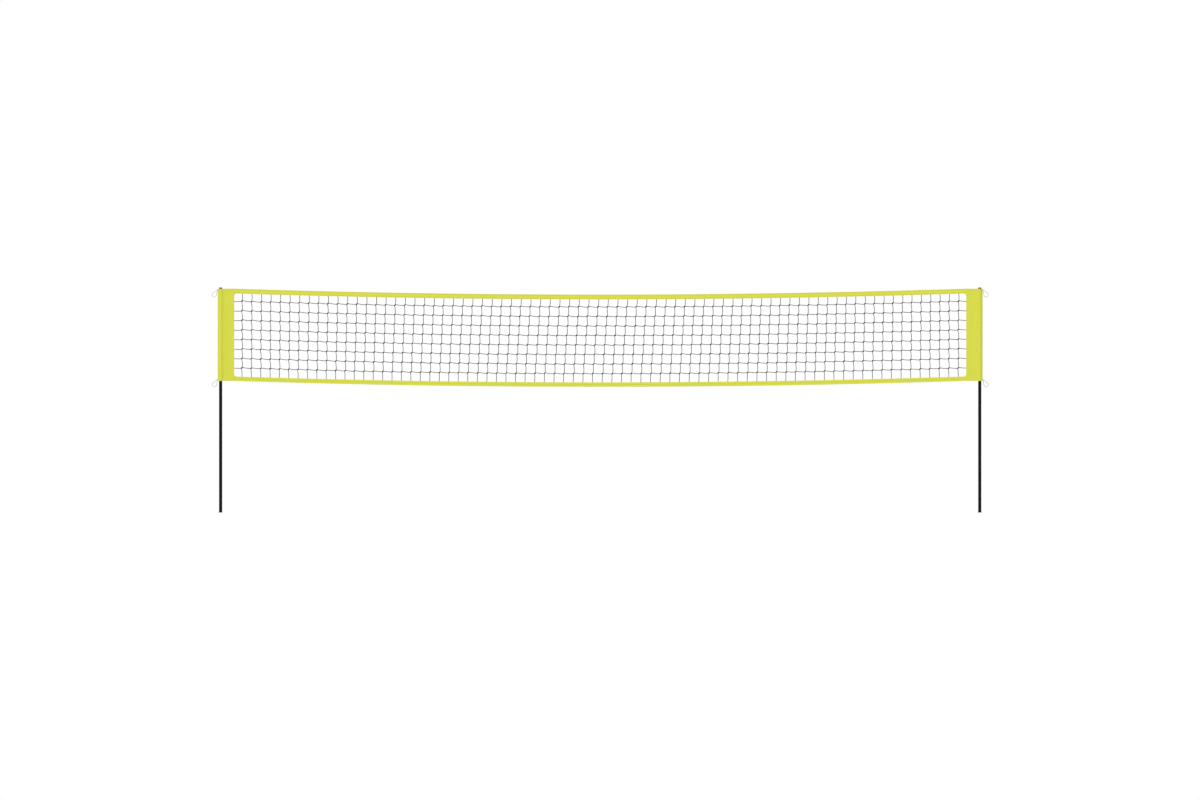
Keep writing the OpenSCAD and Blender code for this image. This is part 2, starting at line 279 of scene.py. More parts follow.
def grown(name, group, values, mesh=None):
    """A new piece: what the tree makes from the mesh with these inputs, as a plain mesh."""
    piece = bpy.data.objects.new(name, mesh or bpy.data.meshes.new(name))
    scene.collection.objects.link(piece)
    modifier = piece.modifiers.new(name, "NODES")
    modifier.node_group = group
    for item in group.interface.items_tree:
        if item.name in values:
            modifier[item.identifier] = values[item.name]
    made = piece.evaluated_get(bpy.context.evaluated_depsgraph_get())
    plain = bpy.data.meshes.new_from_object(made)
    piece.modifiers.clear()
    piece.data = plain
    return piece


net_inputs = [("Gaps Along", "NodeSocketInt"), ("Gaps Down", "NodeSocketInt")]
net_inputs += [(label, "NodeSocketFloat") for label in (
    "Half Width", "Inner Half", "First Row", "Last Row", "Sag", "Lean", "Drift", "Belly", "Unevenness",
    "Row Lift", "Twine Radius", "Knot Reach", "String Length", "Droop", "Bow")]
net_inputs += [("Knots", "NodeSocketBool"), ("Seed", "NodeSocketInt"), ("Material", "NodeSocketMaterial")]
net_tree, given, result = new_group("knotted_net", net_inputs)
given = given.outputs

# Crossings: an even grid, hung in a parabola. It leans about its middle height and has slid along a little.
across = add_node(net_tree, "ShaderNodeMath", {0: given["Gaps Along"], 1: 1.0}, operation="ADD")
down = add_node(net_tree, "ShaderNodeMath", {0: given["Gaps Down"], 1: 1.0}, operation="ADD")
grid = add_node(net_tree, "GeometryNodeMeshGrid",
                {"Size X": 1.0, "Size Y": 1.0, "Vertices X": across, "Vertices Y": down})
place = add_node(net_tree, "ShaderNodeSeparateXYZ", {0: add_node(net_tree, "GeometryNodeInputPosition")})
gx, gy = place.outputs["X"], place.outputs["Y"]
share = add_node(net_tree, "ShaderNodeMath", {0: 0.5, 1: gy}, operation="SUBTRACT")
width = add_node(net_tree, "ShaderNodeMath", {0: given["Half Width"], 1: 2.0}, operation="MULTIPLY")
x_even = add_node(net_tree, "ShaderNodeMath", {0: gx, 1: width}, operation="MULTIPLY")
leaning = gx
for step, value in (("MULTIPLY", math.pi), ("COSINE", 0.0), ("MAXIMUM", 0.0), ("POWER", lean_power),
                    ("MULTIPLY", given["Lean"]), ("MULTIPLY", gy)):
    leaning = add_node(net_tree, "ShaderNodeMath", {0: leaning, 1: value}, operation=step)
drifting = add_node(net_tree, "ShaderNodeMath", {0: gx, 1: 2 * math.pi}, operation="MULTIPLY")
drifting = add_node(net_tree, "ShaderNodeMath", {0: drifting}, operation="SINE")
drifting = add_node(net_tree, "ShaderNodeMath", {0: drifting, 1: given["Drift"], 2: leaning},
                    operation="MULTIPLY_ADD")
x_hung = add_node(net_tree, "ShaderNodeMath", {0: x_even, 1: drifting}, operation="ADD")
hang = add_node(net_tree, "ShaderNodeMath", {0: x_even, 1: given["Inner Half"]}, operation="DIVIDE")
hang = add_node(net_tree, "ShaderNodeMath", {0: hang, 1: hang}, operation="MULTIPLY")
hang = add_node(net_tree, "ShaderNodeMath", {0: 1.0, 1: hang}, operation="SUBTRACT")
hang = add_node(net_tree, "ShaderNodeMath", {0: hang, 1: 0.0}, operation="MAXIMUM")
hang = add_node(net_tree, "ShaderNodeMath", {0: hang, 1: given["Sag"]}, operation="MULTIPLY")
deep = add_node(net_tree, "ShaderNodeMath", {0: given["First Row"], 1: given["Last Row"]},
                operation="SUBTRACT")
deep = add_node(net_tree, "ShaderNodeMath", {0: deep, 1: share}, operation="MULTIPLY")
z_hung = add_node(net_tree, "ShaderNodeMath", {0: given["First Row"], 1: deep}, operation="SUBTRACT")
z_hung = add_node(net_tree, "ShaderNodeMath", {0: z_hung, 1: hang}, operation="SUBTRACT")

# Free crossings are a little uneven, ride a little high and belly out of the plane. The border stays true.
across_edge = add_node(net_tree, "ShaderNodeMath", {0: gx, 1: gx}, operation="MULTIPLY")
down_edge = add_node(net_tree, "ShaderNodeMath", {0: gy, 1: gy}, operation="MULTIPLY")
free_across = add_node(net_tree, "ShaderNodeMath", {0: 0.25, 1: across_edge}, operation="SUBTRACT")
free_down = add_node(net_tree, "ShaderNodeMath", {0: 0.25, 1: down_edge}, operation="SUBTRACT")
free = add_node(net_tree, "ShaderNodeMath", {0: free_across, 1: free_down}, operation="MULTIPLY")
inside = add_node(net_tree, "ShaderNodeMath", {0: free, 1: 1e-5}, operation="GREATER_THAN")
wander = add_node(net_tree, "FunctionNodeRandomValue",
                  {0: (-1, 0, -1), 1: (1, 0, 1), "Seed": given["Seed"]}, data_type="FLOAT_VECTOR")
wander = add_node(net_tree, "ShaderNodeVectorMath", {0: wander, "Scale": given["Unevenness"]},
                  operation="SCALE")
wander = add_node(net_tree, "ShaderNodeVectorMath",
                  {0: wander, 1: add_node(net_tree, "ShaderNodeCombineXYZ", {2: given["Row Lift"]})},
                  operation="ADD")
wander = add_node(net_tree, "ShaderNodeVectorMath", {0: wander, "Scale": inside}, operation="SCALE")
billow = add_node(net_tree, "ShaderNodeTexNoise",
                  {"Vector": add_node(net_tree, "ShaderNodeCombineXYZ", {0: x_even, 1: gy}), "Scale": 1.3,
                   "Detail": 1.0})
for step, value in (("SUBTRACT", 0.5), ("MULTIPLY", given["Belly"]), ("MULTIPLY", free),
                    ("MULTIPLY", 32.0)):
    billow = add_node(net_tree, "ShaderNodeMath", {0: billow, 1: value}, operation=step)
crossing = add_node(net_tree, "ShaderNodeCombineXYZ", {0: x_hung, 1: billow, 2: z_hung})
crossing = add_node(net_tree, "ShaderNodeVectorMath", {0: crossing, 1: wander}, operation="ADD")
reach = add_node(net_tree, "ShaderNodeMath", {0: inside, 1: given["Knot Reach"]}, operation="MULTIPLY")
reach = add_node(net_tree, "ShaderNodeCombineXYZ", {0: reach, 1: 0.0, 2: reach})
marked = add_node(net_tree, "GeometryNodeStoreNamedAttribute",
                  {"Geometry": grid, "Name": "reach", "Value": reach}, data_type="FLOAT_VECTOR",
                  domain="POINT")
hung = add_node(net_tree, "GeometryNodeSetPosition", {"Geometry": marked, "Position": crossing})

# Strings: one for each edge, from the corner of one knot to the far corner of the next.
ends = add_node(net_tree, "GeometryNodeInputMeshEdgeVertices").outputs
knot_reach = add_node(net_tree, "GeometryNodeInputNamedAttribute", {"Name": "reach"},
                      data_type="FLOAT_VECTOR")
reach_1 = add_node(net_tree, "GeometryNodeFieldAtIndex",
                   {"Index": ends["Vertex Index 1"], "Value": knot_reach}, data_type="FLOAT_VECTOR",
                   domain="POINT")
reach_2 = add_node(net_tree, "GeometryNodeFieldAtIndex",
                   {"Index": ends["Vertex Index 2"], "Value": knot_reach}, data_type="FLOAT_VECTOR",
                   domain="POINT")
span = add_node(net_tree, "ShaderNodeVectorMath", {0: ends["Position 2"], 1: ends["Position 1"]},
                operation="SUBTRACT")
part = add_node(net_tree, "ShaderNodeSeparateXYZ", {0: span})
part_x = add_node(net_tree, "ShaderNodeMath", {0: part.outputs["X"]}, operation="ABSOLUTE")
part_z = add_node(net_tree, "ShaderNodeMath", {0: part.outputs["Z"]}, operation="ABSOLUTE")
along = add_node(net_tree, "ShaderNodeMath", {0: part_x, 1: part_z}, operation="GREATER_THAN")
way_x = add_node(net_tree, "ShaderNodeMath", {0: part.outputs["X"]}, operation="SIGN")
way_z = add_node(net_tree, "ShaderNodeMath", {0: part.outputs["Z"]}, operation="SIGN")
way_z = add_node(net_tree, "ShaderNodeMath", {0: way_z, 1: -1.0}, operation="MULTIPLY")
way = add_node(net_tree, "ShaderNodeMix", {0: along, 2: way_z, 3: way_x})
turn = add_node(net_tree, "ShaderNodeMapRange", {"Value": along, "To Min": -1.0, "To Max": 1.0})
both = add_node(net_tree, "ShaderNodeVectorMath", {0: reach_1, 1: reach_2}, operation="ADD")
both = add_node(net_tree, "ShaderNodeVectorMath", {0: both, "Scale": turn}, operation="SCALE")
run = add_node(net_tree, "ShaderNodeVectorMath", {0: span, "Scale": way}, operation="SCALE")
run = add_node(net_tree, "ShaderNodeVectorMath", {0: run, 1: both}, operation="SUBTRACT")
shift = add_node(net_tree, "ShaderNodeVectorMath", {0: reach_1, 1: reach_2}, operation="SUBTRACT")
shift_by = add_node(net_tree, "ShaderNodeMath", {0: way, 1: turn}, operation="MULTIPLY")
shift = add_node(net_tree, "ShaderNodeVectorMath", {0: shift, "Scale": shift_by}, operation="SCALE")
middle = add_node(net_tree, "ShaderNodeVectorMath", {0: ends["Position 1"], 1: ends["Position 2"]},
                  operation="ADD")
middle = add_node(net_tree, "ShaderNodeVectorMath", {0: middle, 1: shift}, operation="ADD")
middle = add_node(net_tree, "ShaderNodeVectorMath", {0: middle, "Scale": 0.5}, operation="SCALE")
marked = add_node(net_tree, "GeometryNodeStoreNamedAttribute",
                  {"Geometry": hung, "Name": "run", "Value": run}, data_type="FLOAT_VECTOR", domain="EDGE")
marked = add_node(net_tree, "GeometryNodeStoreNamedAttribute",
                  {"Geometry": marked, "Name": "along", "Value": along}, data_type="FLOAT", domain="EDGE")
spots = add_node(net_tree, "GeometryNodeMeshToPoints", {"Mesh": marked, "Position": middle}, mode="EDGES")
run = add_node(net_tree, "GeometryNodeInputNamedAttribute", {"Name": "run"}, data_type="FLOAT_VECTOR")
is_along = add_node(net_tree, "GeometryNodeInputNamedAttribute", {"Name": "along"}, data_type="FLOAT")
is_down = add_node(net_tree, "ShaderNodeMath", {0: 1.0, 1: is_along}, operation="SUBTRACT")
aim = add_node(net_tree, "FunctionNodeAlignRotationToVector", {"Vector": run}, axis="X")
stretch = add_node(net_tree, "ShaderNodeVectorMath", {0: run}, operation="LENGTH")
stretch = add_node(net_tree, "ShaderNodeMath", {0: stretch.outputs["Value"], 1: given["String Length"]},
                   operation="DIVIDE")
stretch = add_node(net_tree, "ShaderNodeCombineXYZ", {0: stretch, 1: 1.0, 2: 1.0})

half_string = add_node(net_tree, "ShaderNodeMath", {0: given["String Length"], 1: 0.5},
                       operation="MULTIPLY")
other_half = add_node(net_tree, "ShaderNodeMath", {0: half_string, 1: -1.0}, operation="MULTIPLY")
string_line = add_node(net_tree, "GeometryNodeCurvePrimitiveLine",
                       {"Start": add_node(net_tree, "ShaderNodeCombineXYZ", {0: other_half}),
                        "End": add_node(net_tree, "ShaderNodeCombineXYZ", {0: half_string})})
string_line = add_node(net_tree, "GeometryNodeResampleCurve", {"Curve": string_line, "Count": 8})
along_string = add_node(net_tree, "GeometryNodeSplineParameter")
arch = add_node(net_tree, "ShaderNodeMath", {0: along_string, 1: math.pi}, operation="MULTIPLY")
arch = add_node(net_tree, "ShaderNodeMath", {0: arch}, operation="SINE")
twine_ring = add_node(net_tree, "GeometryNodeCurvePrimitiveCircle",
                      {"Resolution": 5, "Radius": given["Twine Radius"]})
strings = []
for amount, chosen in (("Droop", is_along), ("Bow", is_down)):
    lift = add_node(net_tree, "ShaderNodeMath", {0: arch, 1: given[amount]}, operation="MULTIPLY")
    bent = add_node(net_tree, "GeometryNodeSetPosition",
                    {"Geometry": string_line,
                     "Offset": add_node(net_tree, "ShaderNodeCombineXYZ", {2: lift})})
    one = add_node(net_tree, "GeometryNodeCurveToMesh",
                   {"Curve": bent, "Profile Curve": twine_ring, "Fill Caps": True})
    strings.append(add_node(net_tree, "GeometryNodeInstanceOnPoints",
                            {"Points": spots, "Selection": chosen, "Instance": one, "Rotation": aim,
                             "Scale": stretch}))
all_strings = add_node(net_tree, "GeometryNodeJoinGeometry")
for chosen in strings:
    net_tree.links.new(chosen.outputs[0], all_strings.inputs[0])

# Knots: the twine wound twice through itself, drawn out towards the strings it joins.
knot_path = add_node(net_tree, "GeometryNodeCurvePrimitiveCircle", {"Resolution": 20, "Radius": 1.0})
angle = add_node(net_tree, "ShaderNodeMath",
                 {0: add_node(net_tree, "GeometryNodeSplineParameter"), 1: 2 * math.pi},
                 operation="MULTIPLY")
twice = add_node(net_tree, "ShaderNodeMath", {0: angle, 1: 2.0}, operation="MULTIPLY")
thrice = add_node(net_tree, "ShaderNodeMath", {0: angle, 1: 3.0}, operation="MULTIPLY")
swing = add_node(net_tree, "ShaderNodeMath", {0: thrice}, operation="COSINE")
swing = add_node(net_tree, "ShaderNodeMath", {0: swing, 1: 0.4, 2: 1.0}, operation="MULTIPLY_ADD")
loop_x = add_node(net_tree, "ShaderNodeMath", {0: twice}, operation="COSINE")
loop_x = add_node(net_tree, "ShaderNodeMath", {0: loop_x, 1: swing}, operation="MULTIPLY")
loop_y = add_node(net_tree, "ShaderNodeMath", {0: twice}, operation="SINE")
loop_y = add_node(net_tree, "ShaderNodeMath", {0: loop_y, 1: swing}, operation="MULTIPLY")
loop_z = add_node(net_tree, "ShaderNodeMath", {0: thrice}, operation="SINE")
wound = add_node(net_tree, "ShaderNodeCombineXYZ", {0: loop_x, 1: loop_y, 2: loop_z})
wound = add_node(net_tree, "ShaderNodeVectorMath", {0: wound, 1: knot_radii}, operation="MULTIPLY")
knot_path = add_node(net_tree, "GeometryNodeSetPosition", {"Geometry": knot_path, "Position": wound})
knot_ring = add_node(net_tree, "GeometryNodeCurvePrimitiveCircle",
                     {"Resolution": 4, "Radius": given["Twine Radius"]})
knot = add_node(net_tree, "GeometryNodeCurveToMesh", {"Curve": knot_path, "Profile Curve": knot_ring})
# Each knot lies slanted between its strings, a little askew and never quite the same size.
knot_turn = add_node(net_tree, "FunctionNodeRandomValue",
                     {0: (1.45, -0.95, -0.12), 1: (1.69, -0.62, 0.12), "Seed": given["Seed"]},
                     data_type="FLOAT_VECTOR")
knot_size = add_node(net_tree, "FunctionNodeRandomValue", {2: 0.92, 3: 1.08, "Seed": given["Seed"]},
                     data_type="FLOAT")
tied = add_node(net_tree, "ShaderNodeVectorMath", {0: knot_reach}, operation="LENGTH")
all_knots = add_node(net_tree, "GeometryNodeMeshToPoints", {"Mesh": hung}, mode="VERTICES")
tied = add_node(net_tree, "ShaderNodeMath", {0: tied.outputs["Value"], 1: 1e-6}, operation="GREATER_THAN")
all_knots = add_node(net_tree, "GeometryNodeInstanceOnPoints",
                     {"Points": all_knots, "Selection": tied, "Instance": knot, "Rotation": knot_turn,
                      "Scale": knot_size.outputs[1]})

chosen = add_node(net_tree, "GeometryNodeSwitch",
                  {"Switch": given["Knots"], "False": all_strings, "True": all_knots},
                  input_type="GEOMETRY")
chosen = add_node(net_tree, "GeometryNodeRealizeInstances", {"Geometry": chosen})
for label in ("reach", "run", "along"):
    chosen = add_node(net_tree, "GeometryNodeRemoveAttribute", {"Geometry": chosen, "Name": label})
chosen = add_node(net_tree, "GeometryNodeSetShadeSmooth", {"Geometry": chosen})
chosen = add_node(net_tree, "GeometryNodeSetMaterial", {"Geometry": chosen, "Material": given["Material"]})
net_tree.links.new(chosen.outputs[0], result.inputs[0])

net_sizes = {
    "Gaps Along": gaps_along, "Gaps Down": gaps_down, "Half Width": net_half, "Inner Half": inner_half,
    "First Row": net_first, "Last Row": net_last, "Sag": net_sag, "Lean": net_lean, "Drift": net_drift,
    "Belly": 8 * mm, "Unevenness": 1.8 * mm, "Row Lift": net_lift, "Twine Radius": twine_d / 2,
    "Knot Reach": 4.6 * mm, "String Length": 91 * mm, "Droop": -2 * mm, "Bow": 3.2 * mm,
    "Seed": 7, "Material": twine,
}
net_strings = grown("net_strings", net_tree, {**net_sizes, "Knots": False})
net_knots = grown("net_knots", net_tree, {**net_sizes, "Knots": True})
for piece in (net_strings, net_knots):
    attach(piece, "net")
    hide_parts("net_mesh")


# ---------------------------------------------------------------- head rope and foot rope
# Laid nylon rope of three strands, 5 mm thick, that runs in the folds of the
# tapes and carries the pull of the net. Its ends are sewn into the sleeves.
rope_r = 2.5 * mm
rope_tail = 60 * mm
rope_inset = 3.9 * mm


def hang_at(x):
    """How far the net hangs down at x."""
    return net_sag * max(0.0, 1 - (x / inner_half) ** 2)


def tube(name, path, radii, sides, material):
    """A closed tube round the points of a path, with its own UV map in metres: along, around."""
    sheet = bmesh.new()
    uv = sheet.loops.layers.uv.new("cloth")
    rings, lengths, travelled = [], [], 0.0
    up = None
    for k, point in enumerate(path):
        ahead = (path[min(k + 1, len(path) - 1)] - path[max(k - 1, 0)]).normalized()
        if up is None:
            up = Vector((0, 1, 0)) if abs(ahead.y) < 0.9 else Vector((0, 0, 1))
        up = (up - ahead * up.dot(ahead)).normalized()
        out = ahead.cross(up)
        travelled += (point - path[k - 1]).length if k else 0.0
        lengths.append(travelled)
        rings.append([sheet.verts.new(point + radii[k] * (math.cos(a) * up + math.sin(a) * out))
                      for a in (2 * math.pi * s / sides for s in range(sides))])
    for k in range(len(rings) - 1):
        for s in range(sides):
            beside = (s + 1) % sides
            face = sheet.faces.new((rings[k][s], rings[k][beside], rings[k + 1][beside], rings[k + 1][s]))
            for corner, (a, b) in zip(face.loops, ((k, s), (k, s + 1), (k + 1, s + 1), (k + 1, s))):
                corner[uv].uv = (lengths[a], b * 2 * math.pi * max(radii) / sides)
    sheet.faces.new(rings[0][::-1])
    sheet.faces.new(rings[-1])
    bmesh.ops.recalc_face_normals(sheet, faces=sheet.faces)
    mesh = bpy.data.meshes.new(name)
    sheet.to_mesh(mesh)
    sheet.free()
    mesh.materials.append(material)
    for face in mesh.polygons:
        face.use_smooth = len(face.vertices) == 4
    piece = bpy.data.objects.new(name, mesh)
    scene.collection.objects.link(piece)
    return piece


white_rope, tree = new_material("laid_nylon_rope")
# Strands lie across the rope at 45 degrees, with a groove every 4 mm.
flat = add_node(tree, "ShaderNodeUVMap", uv_map="cloth")
groove = add_node(tree, "ShaderNodeVectorMath", {0: flat, 1: (1, 1, 0)}, operation="DOT_PRODUCT")
groove = add_node(tree, "ShaderNodeMath", {0: groove.outputs["Value"], 1: 2 * math.pi / (4 * mm)},
                  operation="MULTIPLY")
groove = add_node(tree, "ShaderNodeMath", {0: groove}, operation="SINE")
relief = add_node(tree, "ShaderNodeBump", {"Height": groove, "Strength": 0.8, "Distance": 0.5 * mm})
nylon = add_node(tree, "ShaderNodeBsdfPrincipled",
                 {"Base Color": hex_colour("e6e6e2"), "Roughness": 0.7, "Normal": relief})
add_node(tree, "ShaderNodeOutputMaterial", {"Surface": nylon})

for name, edge, side in (("head_rope", net_top, -1), ("foot_rope", net_bottom, 1)):
    reach = inner_half + rope_tail
    line = [reach * (k / 60 - 1) for k in range(121)]
    route = [Vector((x, 0, edge + side * rope_inset - hang_at(x))) for x in line]
    piece = tube(f"{name}_laid", route, [rope_r] * len(route), 10, white_rope)
    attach(piece, "net")
    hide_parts(name)


# ---------------------------------------------------------------- top tape and bottom tape
# Each tape is one strip of yellow woven polyester, folded over its rope and the
# net's border cord and sewn through in two rows. It lies close between the
# strings and stands off where a string comes out of it.
cloth_t = 0.8 * mm
tape_depth = {"top_tape": 52 * mm, "bottom_tape": 49 * mm}
tape_half = 3.5 * mm
border_half = 4.4 * mm
lap = 12 * mm
binding_depth = 16 * mm
rope_row = 9 * mm
edge_row = 5 * mm
border_row = 13 * mm
corner_fillet = 25 * mm

woven_polyester, tree = new_material("woven_polyester")
# A plain weave. Its real threads lie 0.5 mm apart; they are drawn 1.5 mm apart so that they show.
flat = add_node(tree, "ShaderNodeUVMap", uv_map="cloth")
thread = add_node(tree, "ShaderNodeVectorMath", {0: flat, "Scale": math.pi / (1.5 * mm)}, operation="SCALE")
thread = add_node(tree, "ShaderNodeSeparateXYZ", {0: thread})
warp = add_node(tree, "ShaderNodeMath", {0: thread.outputs["X"]}, operation="SINE")
weft = add_node(tree, "ShaderNodeMath", {0: thread.outputs["Y"]}, operation="SINE")
weave = add_node(tree, "ShaderNodeMath", {0: warp, 1: weft}, operation="MULTIPLY")
ripple = add_node(tree, "ShaderNodeTexNoise", {"Vector": flat, "Scale": 1 / (14 * mm), "Detail": 2.0})
height = add_node(tree, "ShaderNodeMath", {0: weave, 1: 0.25, 2: ripple.outputs[0]},
                  operation="MULTIPLY_ADD")
relief = add_node(tree, "ShaderNodeBump", {"Height": height, "Strength": 0.6, "Distance": 0.6 * mm})
# Uneven yarns: faint streaks that follow the threads.
long_way = add_node(tree, "ShaderNodeVectorMath", {0: flat, 1: (4, 160, 0)}, operation="MULTIPLY")
streaks = add_node(tree, "ShaderNodeTexNoise", {"Vector": long_way, "Scale": 1.0, "Detail": 3.0})
streaks = add_node(tree, "ShaderNodeMapRange", {"Value": streaks, "From Min": 0.3, "From Max": 0.7})
tone = add_node(tree, "ShaderNodeMix", {0: streaks, 6: hex_colour("d2d53c"), 7: hex_colour("dcdf4a")},
                data_type="RGBA")
# Painted highlight: the raised crossings of the weave are drawn paler than the hollows between them.
weave_painted_highlight = add_node(tree, "ShaderNodeMapRange", {"Value": weave, "From Min": -1.0, "From Max": 1.0})
tone = add_node(tree, "ShaderNodeMix", {0: weave_painted_highlight, 6: tone.outputs[2], 7: hex_colour("dfe252")},
                data_type="RGBA")
fabric = add_node(tree, "ShaderNodeBsdfPrincipled",
                  {"Base Color": tone.outputs[2], "Roughness": 0.85, "Specular IOR Level": 0.2,
                   "Sheen Weight": 0.1, "Sheen Roughness": 0.4, "Normal": relief})
add_node(tree, "ShaderNodeOutputMaterial", {"Surface": fabric})


def eased(value, *points):
    """A smooth curve through (place, height) points."""
    if value <= points[0][0]:
        return points[0][1]
    for (a, low), (b, high) in zip(points, points[1:]):
        if value <= b:
            t = (value - a) / (b - a)
            return low + (high - low) * t * t * (3 - 2 * t)
    return points[-1][1]


def cloth_sheet(name, rows, flat_rows, material, thickness=cloth_t):
    """A sheet through rows of points, with a UV map in metres, given its thickness both ways."""
    sheet = bmesh.new()
    uv = sheet.loops.layers.uv.new("cloth")
    grid = [[sheet.verts.new(p) for p in row] for row in rows]
    for a in range(len(grid) - 1):
        for b in range(len(grid[0]) - 1):
            corners = ((a, b), (a + 1, b), (a + 1, b + 1), (a, b + 1))
            face = sheet.faces.new([grid[i][j] for i, j in corners])
            face.smooth = True
            for loop, (i, j) in zip(face.loops, corners):
                loop[uv].uv = flat_rows[i][j]
    mesh = bpy.data.meshes.new(name)
    sheet.to_mesh(mesh)
    sheet.free()
    mesh.materials.append(material)
    piece = bpy.data.objects.new(name, mesh)
    scene.collection.objects.link(piece)
    solid = piece.modifiers.new("thickness", "SOLIDIFY")
    solid.thickness = thickness
    solid.offset = 0
    made = piece.evaluated_get(bpy.context.evaluated_depsgraph_get())
    plain = bpy.data.meshes.new_from_object(made)
    piece.modifiers.clear()
    piece.data = plain
    return piece


def string_places(share):
    """Where the strings cross the height that is this share of the way down the net."""
    places = []
    for i in range(1, gaps_along):
        even = i / gaps_along - 0.5
        lean = net_lean * max(0.0, math.cos(math.pi * even)) ** lean_power * (0.5 - share)
        places.append(2 * net_half * even + lean + net_drift * math.sin(2 * math.pi * even))
    return places


def depth_at(x, full):
    """Depth of a tape at x: a round inner corner, a lap on the sleeve, then a narrow binding."""
    left = inner_half - abs(x)
    if left >= corner_fillet:
        return full
    if left < -lap:
        return binding_depth
    return full + corner_fillet - math.sqrt(corner_fillet**2 - (corner_fillet - max(left, 0)) ** 2)


def tape_surface(x, s, full, strings):
    """Half thickness of a folded tape, to the middle of its cloth, s below its fold."""
    nearest = min(abs(x - place) for place in strings)
    stand_off = math.exp(-((nearest / (12 * mm)) ** 2))
    lie = eased(s, (tape_half, tape_half), (rope_row, 0.9 * mm), (full - 26 * mm, 1.1 * mm),
                (full - 19 * mm, border_half), (full - border_row, border_half),
                (full - edge_row, 1.3 * mm), (full, 1.5 * mm))
    if s > full - border_row:
        lie += (border_half - lie) * stand_off
    over_sleeve = eased(abs(x) - inner_half, (-8 * mm, 0.0), (-1 * mm, 1.0))
    lie += (4.5 * mm - lie) * over_sleeve
    # The fold is round on its rope and squarer over the sleeve's two layers.
    power = 2 + 2 * over_sleeve
    return lie * max(0.0, 1 - max(0.0, 1 - s / lie) ** power) ** (1 / power)


def tape_point(tape, x, s, face_side, lift=0.0):
    """A point of a tape, s below its fold, on its front (-1) or back (1), lifted off its cloth."""
    full, strings, edge, side = tape
    waver = 0.5 * mm * noise.noise((x * 7, edge * 3, 1.7)) + 0.3 * mm * noise.noise((x * 31, edge, 4.1))
    waver *= eased(inner_half - abs(x), (0, 0.0), (40 * mm, 1.0)) * min(1.0, s / full)
    pucker = 0.35 * mm * noise.noise((x * 60, s * 80, face_side * 5 + edge))
    half = tape_surface(x, s, full, strings)
    if s > 0:
        half += max(0.0, pucker) + lift
    return Vector((x, face_side * half + waver, edge + side * s - hang_at(x)))


tape_rows = {}
for name, edge, side, share in (("top_tape", net_top, -1, 0.02), ("bottom_tape", net_bottom, 1, 0.98)):
    full = tape_depth[name]
    strings = string_places(share)
    places = set()
    for place in strings:
        places.update(place + gap * mm for gap in (-51.7, -28, -16, -9, -4, 0, 4, 9, 16, 28))
    places = {x for x in places if abs(x) < inner_half - 26 * mm}
    corner = [-98, -92, -80, -66, -52, -38, -26, -18, -13.2, -12, -8, -4, 0, 1.5, 3, 6, 9, 12, 16, 20, 25]
    places.update(s * (inner_half - gap * mm) for s in (-1, 1) for gap in corner)
    places = sorted(places)
    stations = [places[0]] + [b for a, b in zip(places, places[1:]) if b - a > 1.1 * mm]
    # Points lie closer together near the open edge, the fold and each string.
    rows, flat_rows = [], []
    for x in stations:
        depth = depth_at(x, full)
        shares = (0.9, 0.8, 0.68, 0.56, 0.44, 0.32, 0.2, 0.1)
        if depth == full:
            shares = (0.95, 0.88, 0.8, 0.72, 0.62, 0.5, 0.36, 0.2)
        drawn = [depth] + [rope_row + (depth - rope_row) * share for share in shares]
        drawn += [rope_row, 7.4 * mm, 6 * mm, 4.8 * mm, 3.6 * mm, 2.4 * mm, 1.3 * mm, 0.5 * mm, 0.1 * mm]
        row, flat_row = [], []
        for face_side in (-1, 1):
            part = drawn if face_side < 0 else [0.0] + drawn[::-1]
            row += [tape_point((full, strings, edge, side), x, s, face_side) for s in part]
            flat_row += [(x, face_side * s) for s in part]
        rows.append(row)
        flat_rows.append(flat_row)
    piece = cloth_sheet(f"{name}_cloth", rows, flat_rows, woven_polyester)
    tape_rows[name] = (stations, (full, strings, edge, side))
    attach(piece, "net")
    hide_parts(name)


# ---------------------------------------------------------------- sleeves
# A sleeve is one panel of the same woven cloth, folded round the post. A seam
# sewn beside the fold makes the pocket, and the two open edges take in the net.
pocket_shift = 1.6 * mm
pocket_r = 20.4 * mm
seam_w = 12.9 * mm
run_r = 30 * mm
flat_half = 3.5 * mm
flat_reach = post_x - pocket_shift - inner_half
corner_r = 9 * mm
drawn_in = 1.9 * mm


def sleeve_outline():
    """One layer of the sleeve in plan, (towards the net, half thickness), from fold to open edge."""
    reach = math.sqrt((pocket_r + run_r) ** 2 - (flat_half + run_r) ** 2)
    meet = math.atan2(flat_half + run_r, reach)
    points = [(-pocket_r - seam_w * (1 - k / 5), 0.5 * mm) for k in range(6)]
    first = math.asin(0.5 * mm / pocket_r)
    for k in range(1, 27):
        a = first + (math.pi - meet - first) * k / 26
        points.append((-pocket_r * math.cos(a), pocket_r * math.sin(a)))
    for k in range(1, 9):
        a = meet + (math.pi / 2 - meet) * k / 8
        points.append((reach - run_r * math.cos(a), flat_half + run_r - run_r * math.sin(a)))
    points += [(reach + (flat_reach - 0.3 * mm - reach) * k / 20, flat_half) for k in range(1, 21)]
    for _ in range(3):
        points = [points[0]] + [((a[0] + 2 * b[0] + c[0]) / 4, (a[1] + 2 * b[1] + c[1]) / 4)
                                for a, b, c in zip(points, points[1:], points[2:])] + [points[-1]]
    return points


outline = sleeve_outline()
travel = [0.0]
for a, b in zip(outline, outline[1:]):
    travel.append(travel[-1] + math.dist(a, b))


